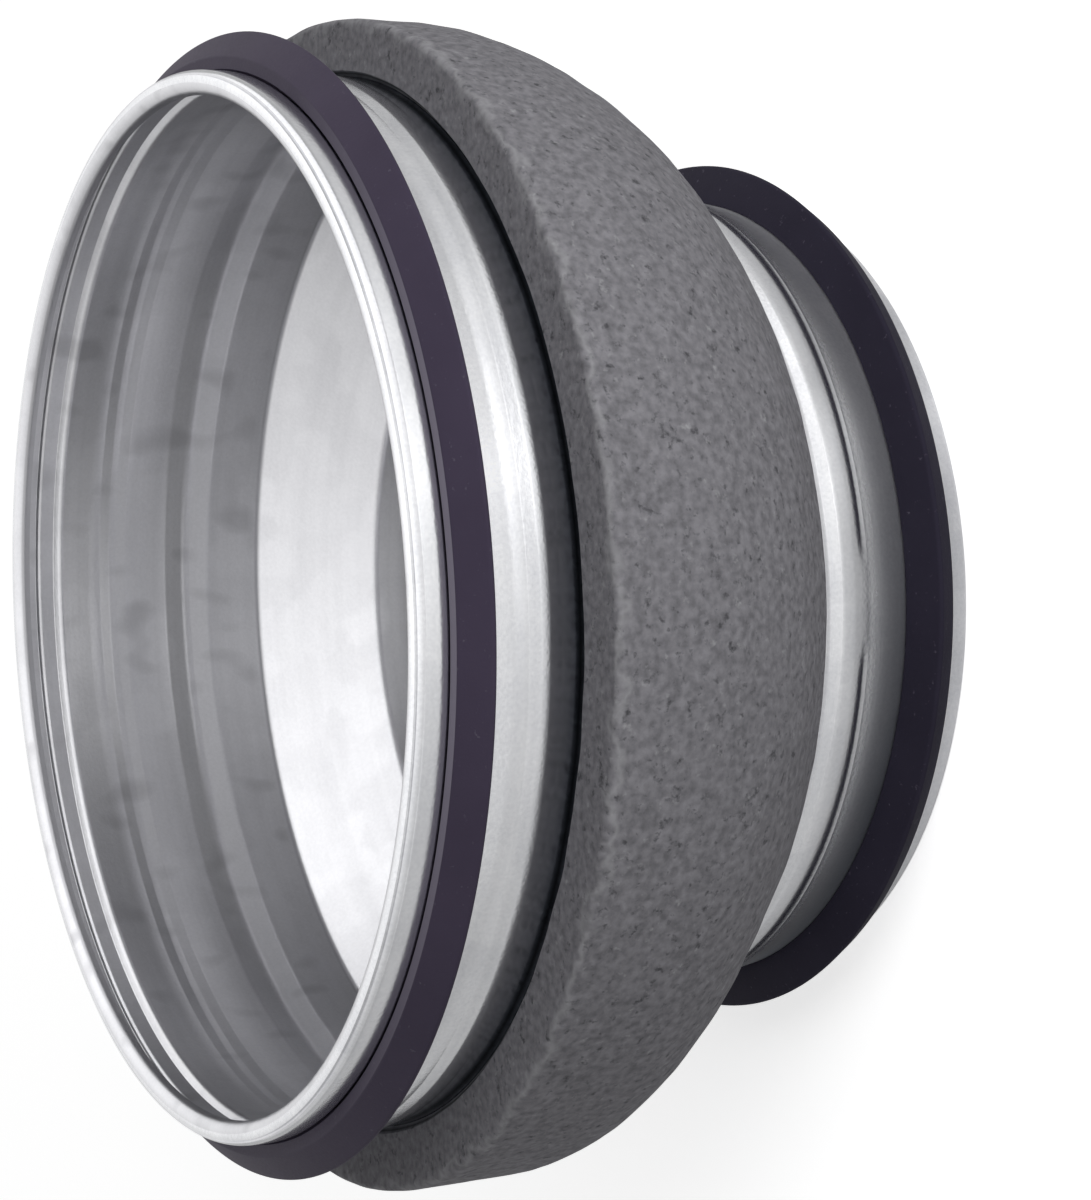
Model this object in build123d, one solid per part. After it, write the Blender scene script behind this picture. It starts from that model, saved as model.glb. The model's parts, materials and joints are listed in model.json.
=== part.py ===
import os
from math import cos, radians, sin, tan

from build123d import *

# A steel duct reducer with a rubber gasket near each end and a foam collar round its cone.
# It stands on its small rim: the duct axis is Z, and the small rim lies in the plane z = 0.
# All sizes are in millimetres and degrees.

# Ducts that slide over the two spigots
LARGE_DUCT_BORE = 200.0
SMALL_DUCT_BORE = 160.0
SPIGOT_PLAY = 0.5            # radial play of a spigot in its duct

# Pressed steel body
SHEET = 0.6
LARGE_SPIGOT_LENGTH = 58.1   # large rim to the start of the cone
SMALL_SPIGOT_LENGTH = 45.0   # end of the cone to the small rim
CONE_ANGLE = 45.0            # cone wall to the duct axis
CONE_BEND = 2.0

# Rolled rim, the same at both ends
RIM_WIDTH = 4.5              # radial width of the roll
RIM_ROLL = 2.1               # radius of the roll's outer skin
RIM_TAIL = 0.8               # straight sheet behind the roll, inside the spigot
RIM_CREASE = 0.35            # radius of the fine line pressed round the roll
RIM_CREASE_AT = 22.0         # from the nose of the roll towards the outside

# Seat of a gasket: a shallow step, then a deeper groove, which runs out slowly towards the bead
LARGE_SEAT_START = 5.2       # from the end of the large spigot
SMALL_SEAT_START = 6.6       # from the end of the small spigot
SEAT_DEPTH = 0.6
GROOVE_FROM_SEAT = 3.8       # start of the seat to the start of the groove
GROOVE_DEPTH = 1.2           # below the seat
SEAT_BEND = 0.8
RUN_OUT_BEND = 12.0
RUN_OUT_LAND = 1.8           # plain wall between the end of the run-out and the stop bead

# Stop beads, which the ducts butt against
LARGE_STOP_START = 20.2      # from the end of the large spigot
LARGE_STOP_WIDTH = 6.0
LARGE_STOP_HEIGHT = 0.45
SMALL_STOP_START = 24.1      # from the end of the small spigot
SMALL_STOP_WIDTH = 7.0
SMALL_STOP_HEIGHT = 1.0
STOP_RAMP = 2.2              # length of a bead's sloping side
STOP_FOOT_BEND = 1.5
STOP_CREST_BEND = 2.5

# Crease at the foot of the small stop bead, broken where the sheet is flat
CREASE_WIDTH = 1.1
CREASE_DEPTH = 0.3
CREASE_BREAK = 10.0          # angle left out of the crease
CREASE_BREAK_AT = 267.0      # direction of the middle of the break, from +X

# Stiffening bead in the large spigot, under the foam
RIB_START = 35.4             # from the end of the large spigot
RIB_WIDTH = 10.4
RIB_HEIGHT = 1.2
RIB_FOOT_BEND = 3.0
RIB_CREST_BEND = 5.0

# Rubber gaskets
LARGE_GASKET_STAND = 7.1     # height of the lip above the spigot
SMALL_GASKET_STAND = 5.4
GASKET_TOE = 0.8             # height above the spigot where the front face starts
GASKET_SHOULDER = 2.6        # height above the spigot where the front face ends
GASKET_LIP_AT = 5.2          # from the front of the gasket to the top of the lip
GASKET_FOOT = 6.8            # width of the gasket on the spigot
GASKET_ROUND = 0.7
GASKET_FIT = 0.1             # gap to the seat and its groove

# Foam collar
FOAM_WALL = 12.3             # thickness on the large spigot
FOAM_FRONT = 29.4            # from the end of the large spigot to the collar's front face
FOAM_BACK = 38.4             # from the end of the small spigot to the collar's back face
FOAM_BACK_WALL = 10.0        # thickness at the back face
FOAM_BEND = 50.0             # radius where the collar turns from the spigot to the cone
FOAM_FRONT_ROUND = 1.5
FOAM_EASE = 1.2              # slant that lifts the front face's inner edge off the spigot
FOAM_BACK_ROUND = 1.2
GLUE_FILM = 0.1

LARGE_RADIUS = LARGE_DUCT_BORE / 2 - SPIGOT_PLAY
SMALL_RADIUS = SMALL_DUCT_BORE / 2 - SPIGOT_PLAY
CONE_LENGTH = (LARGE_RADIUS - SMALL_RADIUS) / tan(radians(CONE_ANGLE))
TOTAL_LENGTH = SMALL_SPIGOT_LENGTH + CONE_LENGTH + LARGE_SPIGOT_LENGTH


def turned(section):
    """Solid of revolution about the duct axis of a section drawn as (radius, height)."""
    return revolve(Plane.XZ * section, Axis.Z)


def rim_and_seat(radius, seat_start, stop_start):
    """Outer skin from the tail of the rolled rim to the end of the gasket seat's run-out.

    Each entry is (radius, distance from the end, bend radius). The steps slope at 45 degrees.
    """
    inside = radius - RIM_WIDTH
    seat = radius - SEAT_DEPTH
    groove = seat - GROOVE_DEPTH
    groove_start = seat_start + GROOVE_FROM_SEAT
    return [
        (inside, RIM_ROLL + RIM_TAIL, 0),
        (inside, 0, RIM_ROLL),
        (radius, 0, RIM_ROLL),
        (radius, seat_start, SEAT_BEND),
        (seat, seat_start + SEAT_DEPTH, SEAT_BEND),
        (seat, groove_start, SEAT_BEND),
        (groove, groove_start + GROOVE_DEPTH, SEAT_BEND),
        (radius, stop_start - RUN_OUT_LAND, RUN_OUT_BEND),
    ]


def stop_bead(radius, start, width, height):
    """Outer skin of a flat-topped bead that stands out of a spigot."""
    return [
        (radius, start, STOP_FOOT_BEND),
        (radius + height, start + STOP_RAMP, STOP_CREST_BEND),
        (radius + height, start + width - STOP_RAMP, STOP_CREST_BEND),
        (radius, start + width, STOP_FOOT_BEND),
    ]


def rib():
    """Outer skin of the round stiffening bead in the large spigot."""
    return [
        (LARGE_RADIUS, RIB_START, RIB_FOOT_BEND),
        (LARGE_RADIUS + RIB_HEIGHT, RIB_START + RIB_WIDTH / 2, RIB_CREST_BEND),
        (LARGE_RADIUS, RIB_START + RIB_WIDTH, RIB_FOOT_BEND),
    ]


def sheet_corners():
    """Corners of the sheet's outer skin as (point, bend radius), large rim to small rim."""
    large_end = rim_and_seat(LARGE_RADIUS, LARGE_SEAT_START, LARGE_STOP_START)
    large_end += stop_bead(LARGE_RADIUS, LARGE_STOP_START, LARGE_STOP_WIDTH, LARGE_STOP_HEIGHT)
    large_end += rib()
    large_end += [(LARGE_RADIUS, LARGE_SPIGOT_LENGTH, CONE_BEND)]
    small_end = rim_and_seat(SMALL_RADIUS, SMALL_SEAT_START, SMALL_STOP_START)
    small_end += stop_bead(SMALL_RADIUS, SMALL_STOP_START, SMALL_STOP_WIDTH, SMALL_STOP_HEIGHT)
    small_end += [(SMALL_RADIUS, SMALL_SPIGOT_LENGTH, CONE_BEND)]
    corners = [(Vector(r, TOTAL_LENGTH - along), bend) for r, along, bend in large_end]
    corners += [(Vector(r, along), bend) for r, along, bend in reversed(small_end)]
    return corners


def skin(out):
    """Line at a distance outside the sheet's outer skin, with its bends kept concentric."""
    corners = sheet_corners()
    places = [place for place, bend in corners]
    steps = [(end - start).normalized() for start, end in zip(places, places[1:])]
    points = []
    bends = []
    for (place, bend), before, after in zip(corners, steps[:1] + steps, steps + steps[-1:]):
        outward = before.rotate(Axis.Z, 90) + after.rotate(Axis.Z, 90)
        points.append(place + outward * (out / (1 + before.dot(after))))
        hollow = before.cross(after).Z > 0
        bends.append(bend - out if hollow else bend + out)
    return FilletPolyline(*points, radius=bends[1:-1])


def filled(gap):
    """Everything from the duct axis to a gap outside the sheet, as one turned solid."""
    outside = skin(gap)
    start = outside @ 0
    end = outside @ 1
    closing = Polyline(start, (0, start.Y), (0, end.Y), end)
    return turned(make_face(outside.edges() + closing.edges()))


def steel_body():
    """One pressed sheet: rolled rims, gasket seats, beads and cone, with its creases."""
    outside = skin(0)
    inside = skin(-SHEET)
    ends = [Line(outside @ 0, inside @ 0), Line(outside @ 1, inside @ 1)]
    body = turned(make_face(outside.edges() + inside.edges() + ends))
    body -= rim_crease(LARGE_RADIUS, TOTAL_LENGTH, -1)
    body -= rim_crease(SMALL_RADIUS, 0, 1)
    return body - stop_crease()


def rim_crease(radius, end, inward):
    """Cutter for the fine line pressed round the outer half of a rolled rim."""
    turn = radians(RIM_CREASE_AT)
    across = radius - RIM_ROLL * (1 - sin(turn))
    along = end + inward * RIM_ROLL * (1 - cos(turn))
    return turned(Pos(across, along) * Circle(RIM_CREASE))


def stop_crease():
    """Cutter for the crease at the foot of the small stop bead, from wall to ramp, with its break."""
    half = CREASE_WIDTH / 2
    ramp_radius = SMALL_RADIUS + half * SMALL_STOP_HEIGHT / STOP_RAMP
    section = make_face(Polyline(
        (SMALL_RADIUS, SMALL_STOP_START - half),
        (SMALL_RADIUS - CREASE_DEPTH, SMALL_STOP_START),
        (ramp_radius, SMALL_STOP_START + half),
        close=True,
    ))
    ring = revolve(Plane.XZ * section, Axis.Z, 360 - CREASE_BREAK)
    return Rot(0, 0, CREASE_BREAK_AT + CREASE_BREAK / 2) * ring


def gasket(radius, end, inward, seat_start, stand):
    """Rubber ring on its seat, with a tongue in the groove and a lip that leans away from the end."""
    front = seat_start + GASKET_FIT
    root = radius - SEAT_DEPTH - GROOVE_DEPTH
    outline = [
        (root, front + GASKET_TOE + radius - root, 0),
        (radius + GASKET_TOE, front, 0),
        (radius + GASKET_SHOULDER, front, GASKET_ROUND),
        (radius + stand, front + GASKET_LIP_AT, GASKET_ROUND),
        (radius, front + GASKET_FOOT, 0),
        (root, front + GASKET_FOOT, 0),
    ]
    points = [(r, end + inward * along) for r, along, bend in outline]
    bends = [bend for r, along, bend in outline]
    ring = turned(make_face(FilletPolyline(*points, radius=bends, close=True).edges()))
    return ring - filled(GASKET_FIT)


def foam_collar():
    """Foam ring glued round the beads and the cone, with a rounded back that follows the cone."""
    front = TOTAL_LENGTH - FOAM_FRONT
    outside = LARGE_RADIUS + FOAM_WALL
    back_outside = SMALL_RADIUS + FOAM_BACK_WALL
    shoulder = FOAM_BACK + (outside - back_outside) / tan(radians(CONE_ANGLE))
    spigot = LARGE_RADIUS + GLUE_FILM
    points = [
        (SMALL_RADIUS, front - 2 * FOAM_EASE),
        (spigot - FOAM_EASE, front - 2 * FOAM_EASE),
        (spigot + FOAM_EASE, front),
        (outside, front),
        (outside, shoulder),
        (back_outside, FOAM_BACK),
        (SMALL_RADIUS, FOAM_BACK),
    ]
    bends = [0, 0, 0, FOAM_FRONT_ROUND, FOAM_BEND, FOAM_BACK_ROUND, 0]
    ring = turned(make_face(FilletPolyline(*points, radius=bends, close=True).edges()))
    return ring - filled(GLUE_FILM)


os.makedirs("parts", exist_ok=True)
pieces = {
    "steel_body": steel_body(),
    "large_gasket": gasket(LARGE_RADIUS, TOTAL_LENGTH, -1, LARGE_SEAT_START, LARGE_GASKET_STAND),
    "small_gasket": gasket(SMALL_RADIUS, 0, 1, SMALL_SEAT_START, SMALL_GASKET_STAND),
    "foam_collar": foam_collar(),
}
for name, piece in pieces.items():
    export_step(piece, f"parts/{name}.step")
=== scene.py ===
import json
from math import ceil, cos, pi, radians, sin, tan, tau

import bmesh
import bpy
from mathutils import Matrix, Vector, noise


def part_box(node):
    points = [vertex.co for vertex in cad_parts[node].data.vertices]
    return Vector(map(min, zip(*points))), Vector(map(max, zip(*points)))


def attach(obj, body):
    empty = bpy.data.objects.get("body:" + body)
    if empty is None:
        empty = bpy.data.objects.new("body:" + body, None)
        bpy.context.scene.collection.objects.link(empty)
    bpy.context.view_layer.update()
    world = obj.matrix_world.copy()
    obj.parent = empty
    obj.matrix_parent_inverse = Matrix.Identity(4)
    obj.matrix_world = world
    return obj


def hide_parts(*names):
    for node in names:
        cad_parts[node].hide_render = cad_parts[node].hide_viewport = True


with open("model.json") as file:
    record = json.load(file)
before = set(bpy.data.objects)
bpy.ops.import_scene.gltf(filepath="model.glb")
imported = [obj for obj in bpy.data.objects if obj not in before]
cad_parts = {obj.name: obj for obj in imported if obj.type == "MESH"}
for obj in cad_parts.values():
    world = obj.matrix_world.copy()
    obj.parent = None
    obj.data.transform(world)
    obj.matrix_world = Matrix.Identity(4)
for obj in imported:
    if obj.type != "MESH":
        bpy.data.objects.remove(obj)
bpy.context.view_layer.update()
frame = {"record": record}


# Steel body
# The reducer itself: one galvanised sheet, pressed into a large spigot, a cone and a small spigot.
# Both ends are rolled inwards to a blunt rim. A gasket seat and a stop bead run round each
# spigot, and one more bead stiffens the large spigot where the foam hides it from outside.

spigot_radius = {mount["name"]: mount["dims"].get("r_mm") for mount in frame["record"]["mounts"]}
LARGE_RADIUS = spigot_radius["large_spigot"] / 1000
SMALL_RADIUS = spigot_radius["small_spigot"] / 1000
TOTAL_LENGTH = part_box("steel_body")[1].z
SHEET = 0.0006
CONE_LENGTH = LARGE_RADIUS - SMALL_RADIUS
SMALL_SPIGOT_LENGTH = 0.045
LARGE_SPIGOT_LENGTH = TOTAL_LENGTH - CONE_LENGTH - SMALL_SPIGOT_LENGTH
CONE_BEND = 0.002

RIM_WIDTH = 0.0045
RIM_ROLL = 0.0021
RIM_TAIL = 0.0008            # straight sheet behind the roll, inside the spigot
RIM_CREASE = 0.00025         # depth of the fine line pressed round the roll
RIM_CREASE_AT = radians(37.5)
ROLL_SHADE_TONE = 0.5              # painted shade on the roll's inner side, as a share of the sheet's darkest tone

LARGE_SEAT_START = 0.0058
SMALL_SEAT_START = 0.0066
SEAT_DEPTH = 0.0006
GROOVE_FROM_SEAT = 0.0038    # start of a gasket's seat to the start of the groove in it
GROOVE_DEPTH = 0.0012
SEAT_BEND = 0.0008
RUN_OUT_BEND = 0.012
RUN_OUT_LAND = 0.0018        # plain wall between the groove's run-out and the stop bead

LARGE_STOP = {"start": 0.0202, "width": 0.006, "height": 0.00045}
SMALL_STOP = {"start": 0.0241, "width": 0.007, "height": 0.001}
STOP_RAMP = 0.0022
STOP_FOOT_BEND = 0.0015
STOP_CREST_BEND = 0.0025

RIB_START = 0.0354
RIB_WIDTH = 0.0104
RIB_HEIGHT = 0.0015
RIB_FOOT_BEND = 0.003
RIB_CREST_BEND = 0.005

CREASE_AT = 0.0235           # height of the fine crease in the ramp of the small stop bead
CREASE_WIDTH = 0.00145
CREASE_DEPTH = 0.00022
CREASE_BREAK = radians(10)
CREASE_BREAK_AT = radians(267)
CREASE_FADE = radians(4)     # turn over which the crease runs out at each side of its break

BEND_STEP = radians(7.5)     # turn of one flat of a rounded bend
SECTORS = 8                  # equal parts of a full turn
STEEL_TURNS = 280            # flats round the axis
SHARP_EDGE = radians(40)
WELD = 0.00001


def stop_bead(radius, size):
    """Corners of a flat-topped bead, as (radius, distance from the end of its spigot, bend)."""
    start = size["start"]
    end = start + size["width"]
    crest = radius + size["height"]
    return [
        (radius, start, STOP_FOOT_BEND),
        (crest, start + STOP_RAMP, STOP_CREST_BEND),
        (crest, end - STOP_RAMP, STOP_CREST_BEND),
        (radius, end, STOP_FOOT_BEND),
    ]


def rib():
    """Corners of the round stiffening bead in the large spigot."""
    return [
        (LARGE_RADIUS, RIB_START, RIB_FOOT_BEND),
        (LARGE_RADIUS + RIB_HEIGHT, RIB_START + RIB_WIDTH / 2, RIB_CREST_BEND),
        (LARGE_RADIUS, RIB_START + RIB_WIDTH, RIB_FOOT_BEND),
    ]


def rim_and_seat(radius, seat_start, stop):
    """Corners from the tail of a rolled rim to the end of the gasket seat's run-out."""
    inside = radius - RIM_WIDTH
    seat = radius - SEAT_DEPTH
    groove = seat - GROOVE_DEPTH
    groove_start = seat_start + GROOVE_FROM_SEAT
    return [
        (inside, RIM_ROLL + RIM_TAIL, 0),
        (inside, 0, RIM_ROLL),
        (radius, 0, RIM_ROLL),
        (radius, seat_start, SEAT_BEND),
        (seat, seat_start + SEAT_DEPTH, SEAT_BEND),
        (seat, groove_start, SEAT_BEND),
        (groove, groove_start + GROOVE_DEPTH, SEAT_BEND),
        (radius, stop["start"] - RUN_OUT_LAND, RUN_OUT_BEND),
    ]


def draw_section(mesh, corners, closed=False):
    """Draws a line through (radius, height, bend) corners in the XZ plane and rounds its bends."""
    verts = [mesh.verts.new((radius, 0, height)) for radius, height, bend in corners]
    following = verts[1:] + verts[:1] if closed else verts[1:]
    for start, end in zip(verts, following):
        mesh.edges.new((start, end))
    for vert, (radius, height, bend) in zip(verts, corners):
        if bend:
            sides = [edge.other_vert(vert).co - vert.co for edge in vert.link_edges]
            turn = pi - sides[0].angle(sides[1])
            bmesh.ops.bevel(mesh, geom=[vert], affect="VERTICES", offset_type="OFFSET",
                            offset=bend * tan(turn / 2), profile=0.5, material=-1,
                            segments=max(2, ceil(turn / BEND_STEP - 0.01)))


def turn_section(mesh, flats):
    """Spins the drawn line round the duct axis, one sector first, and points its faces outwards."""
    sector = tau / SECTORS
    bmesh.ops.spin(mesh, geom=mesh.verts[:] + mesh.edges[:], cent=(0, 0, 0), axis=(0, 0, 1),
                   angle=sector, steps=flats // SECTORS)
    bmesh.ops.spin(mesh, geom=mesh.verts[:] + mesh.edges[:] + mesh.faces[:], cent=(0, 0, 0),
                   axis=(0, 0, 1), angle=tau - sector, steps=SECTORS - 1, use_duplicate=True)
    bmesh.ops.remove_doubles(mesh, verts=mesh.verts, dist=WELD)
    bmesh.ops.recalc_face_normals(mesh, faces=mesh.faces)


def finish_piece(name, mesh, materials, node):
    """Turns a bmesh into a smooth piece that rides on the part and stands for its node."""
    for face in mesh.faces:
        face.smooth = True
    for edge in mesh.edges:
        edge.smooth = edge.calc_face_angle(0) < SHARP_EDGE
    data = bpy.data.meshes.new(name)
    mesh.to_mesh(data)
    mesh.free()
    for material in materials:
        data.materials.append(material)
    piece = bpy.data.objects.new(name, data)
    bpy.context.scene.collection.objects.link(piece)
    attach(piece, "root")
    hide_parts(node)
    return piece


def press_rim_crease(mesh, radius, end, inward):
    """Presses the fine line into the outer half of a rolled rim, while the sheet is still a line."""
    roll = Vector((radius - RIM_ROLL, 0, end + inward * RIM_ROLL))
    out = Vector((sin(RIM_CREASE_AT), 0, -inward * cos(RIM_CREASE_AT)))
    for vert in mesh.verts:
        if (vert.co - roll - out * RIM_ROLL).length < RIM_CREASE / 2:
            vert.co -= out * RIM_CREASE


def mark_roll(mesh, roll_shade, radius, end):
    """Marks painted shade on the inner side of a rolled rim."""
    inner_side = radius - RIM_WIDTH + RIM_ROLL / 2
    tail_end = RIM_ROLL + RIM_TAIL + WELD
    for vert in mesh.verts:
        if vert.co.x < inner_side and RIM_ROLL / 2 < abs(vert.co.z - end) < tail_end:
            vert[roll_shade] = ROLL_SHADE_TONE


def ramp_radius(height):
    """Radius of the small stop bead's ramp, which rises straight from the end of the run-out."""
    foot = SMALL_STOP["start"] - RUN_OUT_LAND
    crest = SMALL_STOP["start"] + STOP_RAMP
    return SMALL_RADIUS + SMALL_STOP["height"] * (height - foot) / (crest - foot)


def fill_break(mesh):
    """Lifts the bottom of the crease back to the ramp where the crease has its break."""
    middle = Vector((cos(CREASE_BREAK_AT), sin(CREASE_BREAK_AT)))
    flat = ramp_radius(CREASE_AT)
    for vert in mesh.verts:
        past_break = middle.angle(vert.co.xy) - CREASE_BREAK / 2
        if abs(vert.co.z - CREASE_AT) < WELD and vert.co.xy.length < flat:
            share = max(0, min(1, 1 - past_break / CREASE_FADE))
            vert.co.xy *= 1 + share * (flat / vert.co.xy.length - 1)


def steel_shell():
    """Draws the sheet's outer skin from rim to rim, turns it and gives it its thickness."""
    large_end = rim_and_seat(LARGE_RADIUS, LARGE_SEAT_START, LARGE_STOP)
    large_end += stop_bead(LARGE_RADIUS, LARGE_STOP)
    large_end += rib()
    large_end += [(LARGE_RADIUS, LARGE_SPIGOT_LENGTH, CONE_BEND)]
    small_end = rim_and_seat(SMALL_RADIUS, SMALL_SEAT_START, SMALL_STOP)
    before = CREASE_AT - CREASE_WIDTH / 2
    behind = CREASE_AT + CREASE_WIDTH / 2
    small_end += [
        (ramp_radius(before), before, 0),
        (ramp_radius(CREASE_AT) - CREASE_DEPTH, CREASE_AT, 0),
        (ramp_radius(behind), behind, 0),
    ]
    small_end += stop_bead(SMALL_RADIUS, SMALL_STOP)[1:]
    small_end += [(SMALL_RADIUS, SMALL_SPIGOT_LENGTH, CONE_BEND)]
    corners = [(radius, TOTAL_LENGTH - along, bend) for radius, along, bend in large_end]
    corners += [(radius, along, bend) for radius, along, bend in reversed(small_end)]
    mesh = bmesh.new()
    roll_shade = mesh.verts.layers.float.new("roll_shade")
    draw_section(mesh, corners)
    for radius, rim, inward in ((LARGE_RADIUS, TOTAL_LENGTH, -1), (SMALL_RADIUS, 0, 1)):
        press_rim_crease(mesh, radius, rim, inward)
        mark_roll(mesh, roll_shade, radius, rim)
    turn_section(mesh, STEEL_TURNS)
    fill_break(mesh)
    bmesh.ops.solidify(mesh, geom=mesh.faces[:], thickness=SHEET)
    mesh.normal_update()
    for face in mesh.faces:
        face.material_index = 1 if face.normal.xy.dot(face.calc_center_median().xy) < 0 else 0
    return mesh


def add_node(tree, kind, inputs=None, **settings):
    """Adds a shader node, with its inputs set to values or linked to other nodes' sockets."""
    made = tree.nodes.new(kind)
    for name, value in settings.items():
        setattr(made, name, value)
    for name, value in (inputs or {}).items():
        if isinstance(value, bpy.types.NodeSocket):
            tree.links.new(value, made.inputs[name])
        else:
            made.inputs[name].default_value = value
    return made


def math_node(tree, operation, first, second=0):
    """Result of a sum, product or the like of two values or sockets."""
    made = add_node(tree, "ShaderNodeMath", {0: first, 1: second}, operation=operation)
    return made.outputs["Value"]


def spread(tree, value, low, high, start=0, end=1):
    """Spreads a value that runs from start to end over another range, and holds it there."""
    made = add_node(tree, "ShaderNodeMapRange", {"Value": value, "From Min": start, "From Max": end,
                                                 "To Min": low, "To Max": high})
    return made.outputs["Result"]


def mixed(tree, share, first, second):
    """Colour between two colours."""
    made = add_node(tree, "ShaderNodeMix", {"Factor": share, "A": first, "B": second}, data_type="RGBA")
    return made.outputs["Result"]


def stretched(tree, scale=(1, 1, 1)):
    """Object coordinates scaled along each axis, so that a pattern can run in lines."""
    coords = add_node(tree, "ShaderNodeTexCoord")
    made = add_node(tree, "ShaderNodeMapping", {"Vector": coords.outputs["Object"], "Scale": scale})
    return made.outputs["Vector"]


def noise_pattern(tree, vector, scale, detail):
    """Soft random pattern from 0 to 1."""
    made = add_node(tree, "ShaderNodeTexNoise", {"Vector": vector, "Scale": scale, "Detail": detail})
    return made.outputs["Fac"]


def new_group(name, inputs, outputs):
    """Empty node group with number sockets, as (group, its inputs, its output node)."""
    group = bpy.data.node_groups.new(name, "ShaderNodeTree")
    for socket in inputs:
        group.interface.new_socket(socket, in_out="INPUT", socket_type="NodeSocketFloat")
    for socket in outputs:
        group.interface.new_socket(socket, in_out="OUTPUT", socket_type="NodeSocketFloat")
    given = group.nodes.new("NodeGroupInput").outputs
    return group, given, group.nodes.new("NodeGroupOutput")


def new_material(name):
    """A node material with its shader, as (material, node tree, shader)."""
    material = bpy.data.materials.new(name)
    material.use_nodes = True
    tree = material.node_tree
    return material, tree, tree.nodes["Principled BSDF"]


CRYSTALS_PER_METRE = 105
CRYSTAL_WANDER = 0.004           # share of a random drift in the places of the crystals
LINES_STRETCH = (6, 6, 420)      # draws the forming marks out into lines round the spigots
GRAIN_PER_METRE = 1500
SMUDGE_STRETCH = (170, 170, 90)
# The darkest tone of each look is what painted shade darkens the sheet towards; inside, the smudges use it
# too.
OUTSIDE = {
    "dark": (0.60, 0.607, 0.635, 1), "light": (0.84, 0.843, 0.855, 1), "stain_and_shade": (0.15, 0.178, 0.215, 1),
    "blocks": 0.3, "lines": 0.35, "grain": 0.35, "smooth": 0.15, "rough": 0.24,
}
INSIDE = {
    "dark": (0.54, 0.54, 0.56, 1), "light": (0.69, 0.69, 0.71, 1), "stain_and_shade": (0.32, 0.32, 0.335, 1),
    "blocks": 0.35, "lines": 0.35, "grain": 0.3, "smooth": 0.27, "rough": 0.35,
}
FILM_FOOT = (0.0120, 0.0125)     # heights under the small gasket where its oil film starts
FILM_SPAN = (0.0145, 0.0235)     # heights between which that film thins out
FILM_SIDES = (-0.04, 0.04)       # places along X between which the painted shade over the film changes
FILM_SHADE_TONES = (0.7, 0)            # painted shade over the film at its -X and +X sides, darker towards -X
FILM_ROUGHNESS = 0.48
FOAM_SHADE_SPAN = (0.0940, 0.0990)    # heights between which the painted shade on the wall above the foam thins out
FOAM_SHADE_TONE = 0.8
BEND_SHADE_AT = 0.0655                 # height of the painted shade line in the bend where the large spigot meets the cone
BEND_SHADE_WIDTH = 0.0008
BEND_SHADE_TONE = 0.5
SMUDGES_FROM = (0.066, 0.068)    # heights between which the wall's smudges set in
SMUDGE_TONE = 0.4


def zinc_coat():
    """Masks of zinc on rolled sheet: blocky crystals, forming lines, a fine grain and smudges."""
    group, _, result = new_group("zinc_coat", [], ["Blocks", "Lines", "Grain", "Smudges"])
    wander = add_node(group, "ShaderNodeTexNoise",
                      {"Vector": stretched(group), "Scale": 140, "Detail": 2}).outputs["Color"]
    place = add_node(group, "ShaderNodeMix", {"Factor": CRYSTAL_WANDER, "A": stretched(group), "B": wander},
                     data_type="VECTOR").outputs["Result"]
    crystals = add_node(group, "ShaderNodeTexVoronoi",
                        {"Vector": place, "Scale": CRYSTALS_PER_METRE, "Smoothness": 0.35, "Randomness": 0.8},
                        feature="SMOOTH_F1", distance="CHEBYCHEV")
    blocks = add_node(group, "ShaderNodeSeparateColor", {"Color": crystals.outputs["Color"]}).outputs["Red"]
    lines = noise_pattern(group, stretched(group, LINES_STRETCH), 1, 3)
    grain = noise_pattern(group, stretched(group), GRAIN_PER_METRE, 2)
    smudges = noise_pattern(group, stretched(group, SMUDGE_STRETCH), 1, 0)
    group.links.new(blocks, result.inputs["Blocks"])
    group.links.new(spread(group, lines, 0, 1, 0.25, 0.75), result.inputs["Lines"])
    group.links.new(spread(group, grain, 0, 1, 0.25, 0.75), result.inputs["Grain"])
    group.links.new(spread(group, smudges, 0, 1, 0.62, 0.82), result.inputs["Smudges"])
    return group


def position(tree):
    """Object coordinates along each axis."""
    coords = add_node(tree, "ShaderNodeTexCoord").outputs["Object"]
    return add_node(tree, "ShaderNodeSeparateXYZ", {"Vector": coords}).outputs


def film_and_painted_shade(tree):
    """Oil film by the small gasket that hazes the wall, painted shade over it that is darker towards -X,
    painted shade on the wall just above the foam, and no smudges.
    """
    place = position(tree)
    film = math_node(tree, "MULTIPLY", spread(tree, place["Z"], 0, 1, *FILM_FOOT),
                     spread(tree, place["Z"], 1, 0, *FILM_SPAN))
    # painted shade over the film zone, darker towards -X
    film_shade = math_node(tree, "MULTIPLY", film, spread(tree, place["X"], *FILM_SHADE_TONES, *FILM_SIDES))
    above_cone = SMALL_SPIGOT_LENGTH + CONE_LENGTH
    # painted shade and reflection of the foam's dark front on the outer wall just above the foam
    above_foam_shade = math_node(tree, "MULTIPLY", spread(tree, place["Z"], 0, 1, SMALL_SPIGOT_LENGTH, above_cone),
                       spread(tree, place["Z"], FOAM_SHADE_TONE, 0, *FOAM_SHADE_SPAN))
    return film, math_node(tree, "MAXIMUM", film_shade, above_foam_shade), 0


def bend_shade_and_smudges(tree):
    """No film, a painted shade line in the bend where the cone starts, and smudges on the large spigot's wall
    above it.
    """
    height = position(tree)["Z"]
    # painted shade along the inside of the bend where the cone starts
    from_bend = math_node(tree, "ABSOLUTE", math_node(tree, "SUBTRACT", height, BEND_SHADE_AT))
    bend_shade = spread(tree, from_bend, BEND_SHADE_TONE, 0, BEND_SHADE_WIDTH / 4, BEND_SHADE_WIDTH)
    return 0, bend_shade, spread(tree, height, 0, SMUDGE_TONE, *SMUDGES_FROM)


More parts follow.
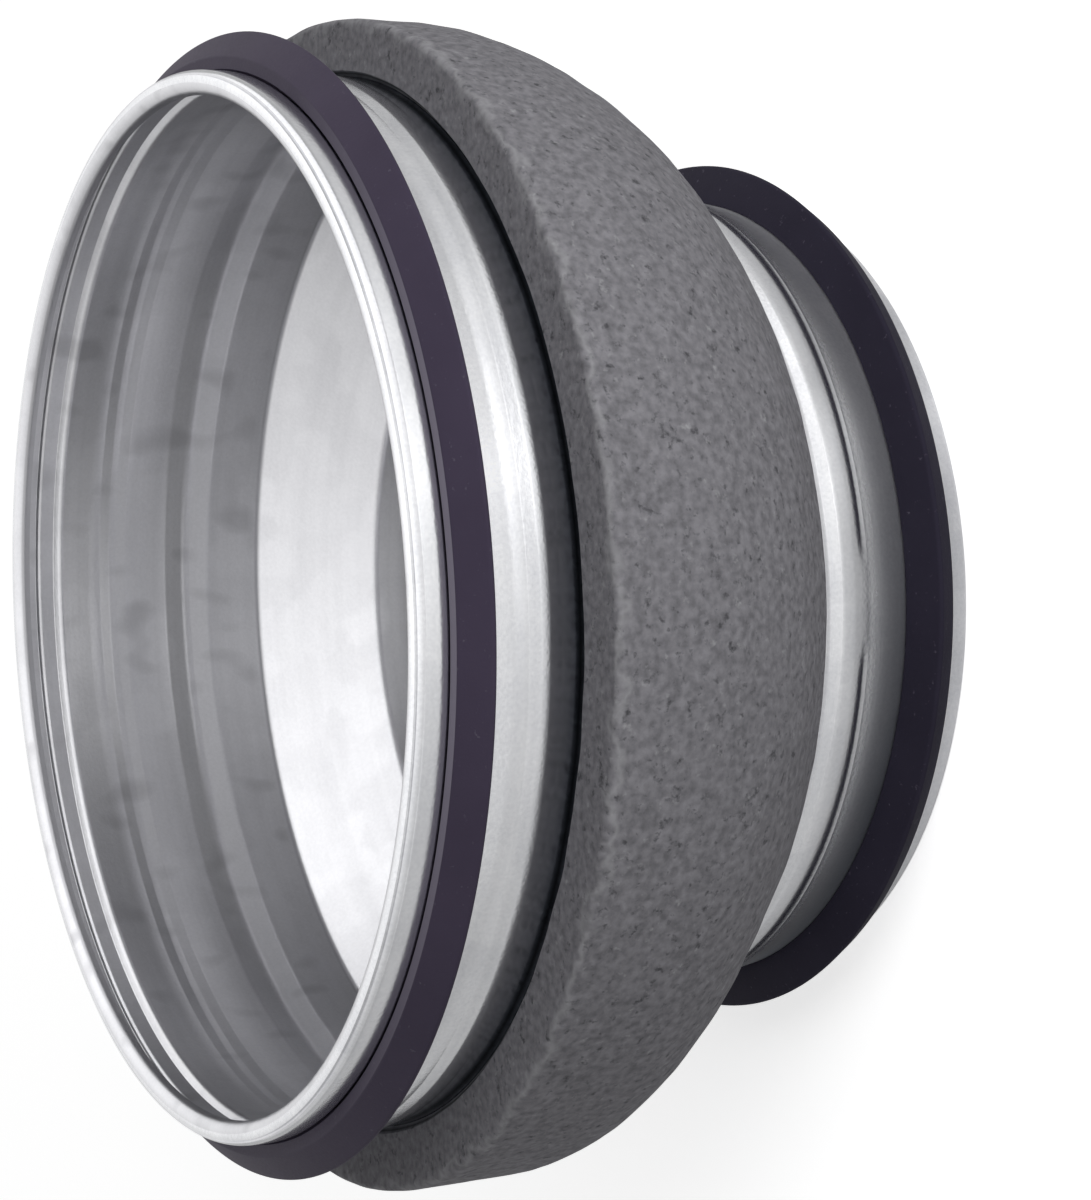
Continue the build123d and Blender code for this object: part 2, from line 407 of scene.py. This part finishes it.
def galvanised_steel(name, coat, look, marks):
    """Zinc-coated sheet between two tones and two roughnesses, hazy under its film, stained and darkened by
    painted shade.
    """
    material, tree, shader = new_material(name)
    zinc = add_node(tree, "ShaderNodeGroup", node_tree=coat).outputs
    tone = math_node(tree, "MULTIPLY", zinc["Blocks"], look["blocks"])
    tone = math_node(tree, "ADD", tone, math_node(tree, "MULTIPLY", zinc["Lines"], look["lines"]))
    tone = math_node(tree, "ADD", tone, math_node(tree, "MULTIPLY", zinc["Grain"], look["grain"]))
    roll_shade = add_node(tree, "ShaderNodeAttribute", attribute_name="roll_shade").outputs["Fac"]
    film, stains_and_shade, smudged = marks(tree)
    stains_and_shade = math_node(tree, "MAXIMUM", stains_and_shade, math_node(tree, "MULTIPLY", zinc["Smudges"], smudged))
    clean = mixed(tree, tone, look["dark"], look["light"])
    # painted shade on the roll, the painted shade masks and the smudges darken the sheet towards its darkest
    # tone
    stained_and_shaded = mixed(tree, math_node(tree, "MAXIMUM", stains_and_shade, roll_shade), clean, look["stain_and_shade"])
    tree.links.new(stained_and_shaded, shader.inputs["Base Color"])
    bare = spread(tree, tone, look["rough"], look["smooth"])
    hazy = add_node(tree, "ShaderNodeMix", {"Factor": film, "A": bare, "B": FILM_ROUGHNESS},
                    data_type="FLOAT")
    tree.links.new(hazy.outputs["Result"], shader.inputs["Roughness"])
    bump = add_node(tree, "ShaderNodeBump", {"Height": zinc["Grain"], "Strength": 0.1, "Distance": 0.0001})
    tree.links.new(bump.outputs["Normal"], shader.inputs["Normal"])
    shader.inputs["Metallic"].default_value = 1
    return material


coat = zinc_coat()
outer_zinc = galvanised_steel("galvanised_outside", coat, OUTSIDE, film_and_painted_shade)
inner_zinc = galvanised_steel("galvanised_inside", coat, INSIDE, bend_shade_and_smudges)
finish_piece("steel_shell", steel_shell(), [outer_zinc, inner_zinc], "steel_body")


# Gaskets
# A soft rubber ring sits on the seat of each spigot. A tongue under it fills the groove, and its
# lip leans back from the end, so that it folds and seals when a duct slides over it.

GASKET_FIT = 0.0001
GASKET_TOE = 0.0003
LARGE_SHOULDER = 0.0026
SMALL_SHOULDER = 0.0038
GASKET_SPREAD = 0.0014       # how much further the lip stands out than the plain solid's
GASKET_LIP_AT = 0.0045
GASKET_FOOT = 0.0068
GASKET_ROUND = 0.0007
GASKET_TURNS = 288
SHEEN_HALF = radians(60)      # turn from the near side over which the painted highlight on the front fades out
RUBBER_CLOUDS_PER_METRE = 60
RUBBER_GRAIN_PER_METRE = 1800
RUBBER_ROUGHNESS = (0.45, 0.6)
DUST_SPOTS = (900, 0.34, 0.1)    # spots per metre, the share they cover and the softness of their edges
LARGE_RUBBER = {"dark": (0.028, 0.022, 0.038, 1), "light": (0.044, 0.035, 0.058, 1), "gloss": 0.1}
# The small gasket gets a darker copy of the same rubber: painted shade under the foam's overhang.
SHADED_SMALL_RUBBER = {"dark": (0.018, 0.016, 0.026, 1), "light": (0.028, 0.025, 0.040, 1), "gloss": 0.03}
RUBBER_DUST = (0.07, 0.062, 0.085, 1)
# pale tone of the painted highlight on the gasket's front face
RUBBER_SHEEN = (0.16, 0.145, 0.185, 1)


def gasket(node, radius, end, inward, seat_start, stop, shoulder):
    """Rubber ring of one spigot, from its tongue in the groove to its lip, with a painted highlight on its
    front towards the near side.
    """
    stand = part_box(node)[1].x + GASKET_SPREAD
    front = seat_start + GASKET_FIT
    back = front + GASKET_FOOT
    seat = radius - SEAT_DEPTH + GASKET_FIT
    root = seat - GROOVE_DEPTH
    root_at = seat_start + GROOVE_FROM_SEAT + GROOVE_DEPTH
    run_out = (radius + GASKET_FIT - root) / (stop["start"] - RUN_OUT_LAND - root_at)
    outline = [
        (seat, front + GASKET_TOE + radius - seat, 0),
        (radius + GASKET_TOE, front, 0),
        (radius + shoulder, front, GASKET_ROUND),
        (stand, front + GASKET_LIP_AT, GASKET_ROUND),
        (radius, back, 0),
        (root + run_out * (back - root_at), back, 0),
        (root, root_at, SEAT_BEND - GASKET_FIT),
        (seat, root_at - GROOVE_DEPTH, SEAT_BEND),
    ]
    mesh = bmesh.new()
    front_sheen = mesh.verts.layers.float.new("front_sheen")
    draw_section(mesh, [(r, end + inward * along, bend) for r, along, bend in outline], closed=True)
    turn_section(mesh, GASKET_TURNS)
    # painted highlight on the front face, strongest on the near side
    faded = cos(SHEEN_HALF)
    for vert in mesh.verts:
        if abs(vert.co.z - end - inward * front) < WELD:
            vert[front_sheen] = max(0, (-vert.co.y / radius - faded) / (1 - faded))
    return mesh


def speckle():
    """Irregular spots that cover more of the surface as Coverage grows, with soft edges."""
    group, given, result = new_group("speckle", ["Scale", "Coverage", "Softness"], ["Spots"])
    pattern = add_node(group, "ShaderNodeTexNoise", {"Vector": stretched(group), "Scale": given["Scale"],
                                                     "Detail": 3, "Roughness": 0.6}).outputs["Fac"]
    over = math_node(group, "SUBTRACT", pattern, math_node(group, "SUBTRACT", 1, given["Coverage"]))
    group.links.new(spread(group, over, 0, 1, 0, given["Softness"]), result.inputs["Spots"])
    return group


spot_group = speckle()


def spots(tree, scale, coverage, softness):
    """Places the spot pattern in a material."""
    placed = add_node(tree, "ShaderNodeGroup", node_tree=spot_group)
    placed.inputs["Scale"].default_value = scale
    placed.inputs["Coverage"].default_value = coverage
    placed.inputs["Softness"].default_value = softness
    return placed.outputs["Spots"]


def gasket_rubber(name, tones):
    """Matt black rubber with a violet cast, dusty in places and with a painted highlight on its front."""
    material, tree, shader = new_material(name)
    cloudy = noise_pattern(tree, stretched(tree), RUBBER_CLOUDS_PER_METRE, 4)
    grain = noise_pattern(tree, stretched(tree), RUBBER_GRAIN_PER_METRE, 2)
    front_sheen = add_node(tree, "ShaderNodeAttribute", attribute_name="front_sheen").outputs["Fac"]
    plain = mixed(tree, cloudy, tones["dark"], tones["light"])
    dusty = mixed(tree, spots(tree, *DUST_SPOTS), plain, RUBBER_DUST)
    tree.links.new(mixed(tree, front_sheen, dusty, RUBBER_SHEEN), shader.inputs["Base Color"])
    tree.links.new(spread(tree, grain, *RUBBER_ROUGHNESS), shader.inputs["Roughness"])
    shader.inputs["Specular IOR Level"].default_value = tones["gloss"]
    bump = add_node(tree, "ShaderNodeBump", {"Height": grain, "Strength": 0.3, "Distance": 0.0001})
    tree.links.new(bump.outputs["Normal"], shader.inputs["Normal"])
    return material


large_seal = gasket("large_gasket", LARGE_RADIUS, TOTAL_LENGTH, -1, LARGE_SEAT_START, LARGE_STOP,
                    LARGE_SHOULDER)
large_rubber = gasket_rubber("large_gasket_rubber", LARGE_RUBBER)
finish_piece("large_lip_seal", large_seal, [large_rubber], "large_gasket")
small_seal = gasket("small_gasket", SMALL_RADIUS, 0, 1, SMALL_SEAT_START, SMALL_STOP, SMALL_SHOULDER)
shaded_small_rubber = gasket_rubber("shaded_small_gasket_rubber", SHADED_SMALL_RUBBER)
finish_piece("small_lip_seal", small_seal, [shaded_small_rubber], "small_gasket")


# Foam collar
# A thick ring of grey closed-cell foam, glued round the cone to keep it warm and dry. Its front is
# cut square, and its back is pulled in over the cone, fuller on one side than on the other.

FOAM_BACK_WALL = 0.010
FOAM_BEND = 0.050
FOAM_FRONT_ROUND = 0.0015
FOAM_BACK_ROUND = 0.0012
FOAM_EASE = 0.0012           # slant that lifts the front face's inner edge off the spigot
GLUE_FILM = 0.0001
FOAM_TURNS = 560
FOAM_CELL = 0.0012           # longest flat along the section
FOAM_LUMP = 0.0003           # deepest hollow of the uneven skin
FOAM_LUMP_SPACING = 0.007
FOAM_FULL = 0.0030           # how far the shoulder stands out towards -X
FOAM_SLIM = 0.0015           # how much thinner the collar is towards +X, and at its back towards -X
FOAM_FULL_FROM = 0.040
FOAM_FULL_TO = 0.084
FOAM_DARK = (0.108, 0.106, 0.115, 1)
FOAM_LIGHT = (0.195, 0.191, 0.206, 1)
FOAM_PIT = (0.055, 0.055, 0.06, 1)
FOAM_SPECK = (0.25, 0.25, 0.26, 1)
# pale tone of the painted highlight along the front edge
FOAM_EDGE_HIGHLIGHT = (0.28, 0.28, 0.29, 1)
# near-black painted shade in the gap between the foam's slanted inner edge and the steel
FOAM_JOINT_SHADE = (0.018, 0.018, 0.020, 1)
FOAM_EDGE_ZONE = 0.004       # width of the strip beside the front edge that the painted highlight wanders in
EDGE_HIGHLIGHT_TONE = 0.45
HIGHLIGHT_BENDS_PER_METRE = 170
MOTTLES_PER_METRE = 620
PIT_SPOTS = (540, 0.41, 0.15)    # spots per metre, the share they cover and the softness of their edges
SPECK_SPOTS = (480, 0.38, 0.16)


def roughen(mesh, skin, outside):
    """Fills the collar out on one side, thins it on the other and sinks small hollows into its skin."""
    for vert in mesh.verts:
        radius = vert.co.xy.length
        side = vert.co.x / radius
        along = max(0, min(1, (vert.co.z - FOAM_FULL_FROM) / (FOAM_FULL_TO - FOAM_FULL_FROM)))
        steel = SMALL_RADIUS + max(0, min(CONE_LENGTH, vert.co.z - SMALL_SPIGOT_LENGTH))
        wall = min(1, (radius - steel) / FOAM_BACK_WALL)
        full = FOAM_FULL * max(0, -side) * sin(pi * along) ** 2
        slim = FOAM_SLIM * wall * max(side, -side * (1 - along))
        vert.co.xy *= 1 + vert[skin] * (min(outside, radius + full - slim) / radius - 1)
    mesh.normal_update()
    for vert in mesh.verts:
        hollow = 0.5 + noise.noise(vert.co / FOAM_LUMP_SPACING) / 2
        vert.co -= vert.normal * (vert[skin] * FOAM_LUMP * hollow)


def foam_collar():
    """Outside of the collar drawn first and cut fine, then its seat on the steel, turned together."""
    low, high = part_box("foam_collar")
    outside = high.x
    spigot = LARGE_RADIUS + GLUE_FILM
    neck = SMALL_RADIUS + GLUE_FILM
    back_outside = SMALL_RADIUS + FOAM_BACK_WALL
    shoulder = low.z + outside - back_outside
    mesh = bmesh.new()
    skin = mesh.verts.layers.float.new("skin")
    edge_zone = mesh.verts.layers.float.new("edge_zone")
    joint_shade = mesh.verts.layers.float.new("joint_shade")
    draw_section(mesh, [
        (spigot, high.z - FOAM_EASE, 0),
        (spigot + FOAM_EASE, high.z, 0),
        (outside, high.z, FOAM_FRONT_ROUND),
        (outside, shoulder, FOAM_BEND),
        (back_outside, low.z, FOAM_BACK_ROUND),
        (neck, low.z, 0),
    ])
    for edge in mesh.edges[:]:
        cuts = int(edge.calc_length() / FOAM_CELL)
        if cuts:
            bmesh.ops.subdivide_edges(mesh, edges=[edge], cuts=cuts)
    for vert in mesh.verts:
        vert[skin] = len(vert.link_edges) - 1
        past_edge = (outside - vert.co.x - high.z + vert.co.z) / FOAM_EDGE_ZONE
        vert[edge_zone] = max(-1, min(1, past_edge))
        # marks the slant at the front face's inner edge for painted shade
        vert[joint_shade] = vert.co.x < spigot + FOAM_EASE - WELD and vert.co.z > high.z - FOAM_EASE - WELD
    seat = [(spigot, high.z - FOAM_EASE, 0)]
    seat += [(radius + GLUE_FILM, TOTAL_LENGTH - along, bend) for radius, along, bend in rib()]
    seat += [
        (spigot, TOTAL_LENGTH - LARGE_SPIGOT_LENGTH, CONE_BEND),
        (neck, SMALL_SPIGOT_LENGTH, CONE_BEND),
        (neck, low.z, 0),
    ]
    draw_section(mesh, seat)
    bmesh.ops.remove_doubles(mesh, verts=mesh.verts, dist=WELD)
    turn_section(mesh, FOAM_TURNS)
    roughen(mesh, skin, outside)
    return mesh


def foam():
    """Grey foam: soft mottling and pits, pale specks, a painted highlight along the front edge and painted
    shade in the joint with the steel.
    """
    material, tree, shader = new_material("foam")
    mottle = noise_pattern(tree, stretched(tree), MOTTLES_PER_METRE, 4)
    wander = noise_pattern(tree, stretched(tree), HIGHLIGHT_BENDS_PER_METRE, 3)
    edge_zone = add_node(tree, "ShaderNodeAttribute", attribute_name="edge_zone").outputs["Fac"]
    joint_shade = add_node(tree, "ShaderNodeAttribute", attribute_name="joint_shade").outputs["Fac"]
    pits = spots(tree, *PIT_SPOTS)
    drift = math_node(tree, "ADD", edge_zone, spread(tree, wander, -1, 1, 0.25, 0.75))
    edge_highlight = spread(tree, math_node(tree, "ABSOLUTE", drift), EDGE_HIGHLIGHT_TONE, 0, 0.05, 0.5)
    by_edge = spread(tree, math_node(tree, "ABSOLUTE", edge_zone), 1, 0, 0.6, 0.95)
    plain = mixed(tree, spread(tree, mottle, 0, 1, 0.3, 0.7), FOAM_DARK, FOAM_LIGHT)
    specked = mixed(tree, spots(tree, *SPECK_SPOTS), plain, FOAM_SPECK)
    pitted = mixed(tree, pits, specked, FOAM_PIT)
    highlighted = mixed(tree, math_node(tree, "MULTIPLY", edge_highlight, by_edge), pitted, FOAM_EDGE_HIGHLIGHT)
    tree.links.new(mixed(tree, joint_shade, highlighted, FOAM_JOINT_SHADE), shader.inputs["Base Color"])
    shader.inputs["Roughness"].default_value = 0.9
    shader.inputs["Specular IOR Level"].default_value = 0.2
    height = math_node(tree, "SUBTRACT", mottle, pits)
    bump = add_node(tree, "ShaderNodeBump", {"Height": height, "Strength": 0.35, "Distance": 0.0003})
    tree.links.new(bump.outputs["Normal"], shader.inputs["Normal"])
    return material


collar = finish_piece("foam_ring", foam_collar(), [foam()], "foam_collar")


# Floor, light and camera
# The reducer stands on its small rim on a white floor, under soft studio light. The camera looks
# down into the large mouth and lies on its side, so the duct axis runs across the picture.

FLOOR_SIZE = 12.0
FLOOR_WHITE = (0.88, 0.88, 0.88, 1)
FLOOR_SHADED = (0, 0, 0, 1)
FLOOR_GLOW_SEEN = 0.6
FLOOR_GLOW_MIRRORED = (0.65, 0.10)
GLOW_SPAN = (-1.4, -0.3)     # places along Y between which the floor's mirrored glow fades
STREAK_GLOW = 0.2            # added glow of the strip of floor that draws a bright streak on the walls
STREAK_AT = 0.43             # heading of that strip, as X over -Y
STREAK_HALF = 0.3
BORE_GLOW = (1.05, 0)        # mirrored glow of the floor inside the small rim
BORE_GLOW_SPAN = (-0.055, -0.012)
BORE_SIDES = (0.7, 1.3)      # share of that glow towards -X and towards +X
BORE_EDGE = (0.070, 0.078)
FOOT_SHADE = 0.25            # how far mirrors lose the floor's light beside the reducer
FOOT_START = (0.083, 0.090)
FOOT_END = (0.090, 0.13)
SKY_DIFFUSE = 0.45
SKY_DIFFUSE_SIDES = (0.95, 1.15)
SKY_DIFFUSE_RISE = (1.1, 0.75)
SKY_MIRRORED_SIDES = (0.6, 1.4)
SKY_MIRRORED_RISE = (1.0, 1.42)
SKY_RISE_SPAN = (0.2, 0.85)
KEY_PLACE = (0.315, -0.56, 0.34)
KEY_SIZE = 0.35
KEY_POWER = 2.9
LIGHT_AIM = (0, 0, 0.06)
PICTURE_HEIGHT = 1200
FOCAL_PIXELS = 2884
CAMERA_PLACE = Vector((0, -0.5054, 0.3219))
CAMERA_AIM = Vector((-0.00127, 0, 0.0453))
CAMERA_TILT = radians(2.6)


def ray_kinds(tree):
    """1 for camera rays, and 1 for mirror and glass rays."""
    path = add_node(tree, "ShaderNodeLightPath").outputs
    mirrored = math_node(tree, "MAXIMUM", path["Is Glossy Ray"], path["Is Transmission Ray"])
    return path["Is Camera Ray"], mirrored


def white_floor():
    """White floor that takes the object's shadow. Mirrors see it dim beside the object, lit elsewhere."""
    material, tree, shader = new_material("white_floor")
    seen, mirrored = ray_kinds(tree)
    place = add_node(tree, "ShaderNodeTexCoord").outputs["Object"]
    along_x, along_y = add_node(tree, "ShaderNodeSeparateXYZ", {"Vector": place}).outputs[:2]
    from_axis = add_node(tree, "ShaderNodeVectorMath", {0: place}, operation="LENGTH").outputs["Value"]
    foot = math_node(tree, "MULTIPLY", spread(tree, from_axis, 0, FOOT_SHADE, *FOOT_START),
                     spread(tree, from_axis, 1, 0, *FOOT_END))
    shade = math_node(tree, "MULTIPLY", mirrored, foot)
    heading = math_node(tree, "DIVIDE", along_x, math_node(tree, "MULTIPLY", along_y, -1))
    from_streak = math_node(tree, "ABSOLUTE", math_node(tree, "SUBTRACT", heading, STREAK_AT))
    open_glow = math_node(tree, "ADD", spread(tree, along_y, *FLOOR_GLOW_MIRRORED, *GLOW_SPAN),
                          spread(tree, from_streak, STREAK_GLOW, 0, 0, STREAK_HALF))
    bore_glow = math_node(tree, "MULTIPLY", spread(tree, along_y, *BORE_GLOW, *BORE_GLOW_SPAN),
                          spread(tree, along_x, *BORE_SIDES, -SMALL_RADIUS / 2, SMALL_RADIUS / 2))
    glow = add_node(tree, "ShaderNodeMix", {"Factor": spread(tree, from_axis, 0, 1, *BORE_EDGE),
                                            "A": bore_glow, "B": open_glow}, data_type="FLOAT")
    glow = math_node(tree, "MULTIPLY", glow.outputs["Result"], math_node(tree, "SUBTRACT", mirrored, shade))
    glow = math_node(tree, "ADD", glow, spread(tree, seen, 0, FLOOR_GLOW_SEEN))
    tree.links.new(mixed(tree, shade, FLOOR_WHITE, FLOOR_SHADED), shader.inputs["Base Color"])
    tree.links.new(glow, shader.inputs["Emission Strength"])
    shader.inputs["Emission Color"].default_value = (1, 1, 1, 1)
    shader.inputs["Roughness"].default_value = 0.9
    shader.inputs["Specular IOR Level"].default_value = 0
    return material


floor_mesh = bmesh.new()
bmesh.ops.create_grid(floor_mesh, x_segments=1, y_segments=1, size=FLOOR_SIZE / 2)
floor_data = bpy.data.meshes.new("floor")
floor_mesh.to_mesh(floor_data)
floor_mesh.free()
floor_data.materials.append(white_floor())
floor = bpy.data.objects.new("floor", floor_data)
bpy.context.scene.collection.objects.link(floor)

world = bpy.data.worlds.new("studio")
world.use_nodes = True
sky = world.node_tree
background = sky.nodes["Background"]
background.inputs["Color"].default_value = (1, 1, 1, 1)
seen, mirrored = ray_kinds(sky)
direction = add_node(sky, "ShaderNodeTexCoord").outputs["Generated"]
heading = add_node(sky, "ShaderNodeSeparateXYZ", {"Vector": direction}).outputs
soft = math_node(sky, "MULTIPLY", spread(sky, heading["X"], *SKY_DIFFUSE_SIDES, -1, 1), SKY_DIFFUSE)
soft = math_node(sky, "MULTIPLY", soft, spread(sky, heading["Z"], *SKY_DIFFUSE_RISE))
shiny = math_node(sky, "MULTIPLY", spread(sky, heading["X"], *SKY_MIRRORED_SIDES, -1, 1),
                  spread(sky, heading["Z"], *SKY_MIRRORED_RISE, *SKY_RISE_SPAN))
light = add_node(sky, "ShaderNodeMix", {"Factor": mirrored, "A": soft, "B": shiny}, data_type="FLOAT")
strength = add_node(sky, "ShaderNodeMix", {"Factor": seen, "A": light.outputs["Result"], "B": 1},
                    data_type="FLOAT")
sky.links.new(strength.outputs["Result"], background.inputs["Strength"])
bpy.context.scene.world = world

key_data = bpy.data.lights.new("key", "AREA")
key_data.size = KEY_SIZE
key_data.energy = KEY_POWER
key = bpy.data.objects.new("key", key_data)
key.location = KEY_PLACE
key.rotation_euler = (Vector(LIGHT_AIM) - Vector(KEY_PLACE)).to_track_quat("-Z", "Y").to_euler()
key.visible_glossy = False
bpy.context.scene.collection.objects.link(key)

back = (CAMERA_PLACE - CAMERA_AIM).normalized()
drop = (Vector((0, 0, -1)) + back * back.z).normalized()
level = back.cross(drop)
right = drop * cos(CAMERA_TILT) - level * sin(CAMERA_TILT)
up = level * cos(CAMERA_TILT) + drop * sin(CAMERA_TILT)
camera_data = bpy.data.cameras.new("camera")
camera_data.lens = FOCAL_PIXELS / PICTURE_HEIGHT * camera_data.sensor_width
camera = bpy.data.objects.new("camera", camera_data)
camera.matrix_world = Matrix.Translation(CAMERA_PLACE) @ Matrix((right, up, back)).transposed().to_4x4()
bpy.context.scene.collection.objects.link(camera)
bpy.context.scene.camera = camera
bpy.context.scene.view_settings.view_transform = "Standard"
